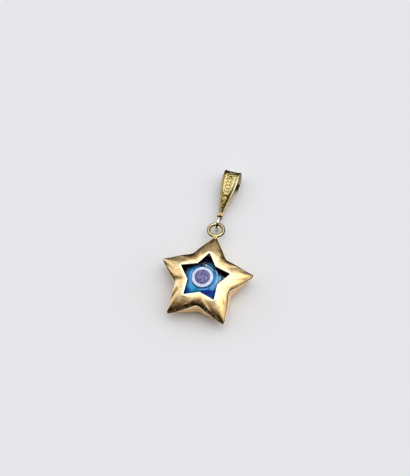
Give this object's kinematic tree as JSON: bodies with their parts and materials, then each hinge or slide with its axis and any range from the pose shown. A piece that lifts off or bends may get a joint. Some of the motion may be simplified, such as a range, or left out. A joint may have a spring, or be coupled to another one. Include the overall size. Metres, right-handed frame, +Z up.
{
  "type": "star pendant with an eye bead",
  "caption": "Puffed gold star charm with a star-shaped window over a blue glass eye bead, hung by a link from a tapered folded bail.",
  "frame": {"origin": "middle of the whole charm's box, on the surface that it lies on", "axes": "+Z up out of the star's face, +Y along the charm from the star to the bail, +X to the right seen from the front"},
  "size_m": [0.0156, 0.0274, 0.0044],
  "materials": {
    "case_gold": "polished yellow gold with fine wear scratches",
    "link_gold": "polished yellow gold wire",
    "bail_gold": "polished yellow gold, slightly greener, dark in its recesses",
    "blue_glass": "clear deep blue glass, polished",
    "white_glass": "opaque bluish white glass, glossy",
    "pupil_glass": "opaque grey violet glass, glossy"
  },
  "bodies": {
    "root": {"star_case": "case_gold", "eye_glass": "blue_glass", "eye_white": "white_glass", "eye_pupil": "pupil_glass", "link": "link_gold", "bail": "bail_gold"}
  },
  "joints": []
}
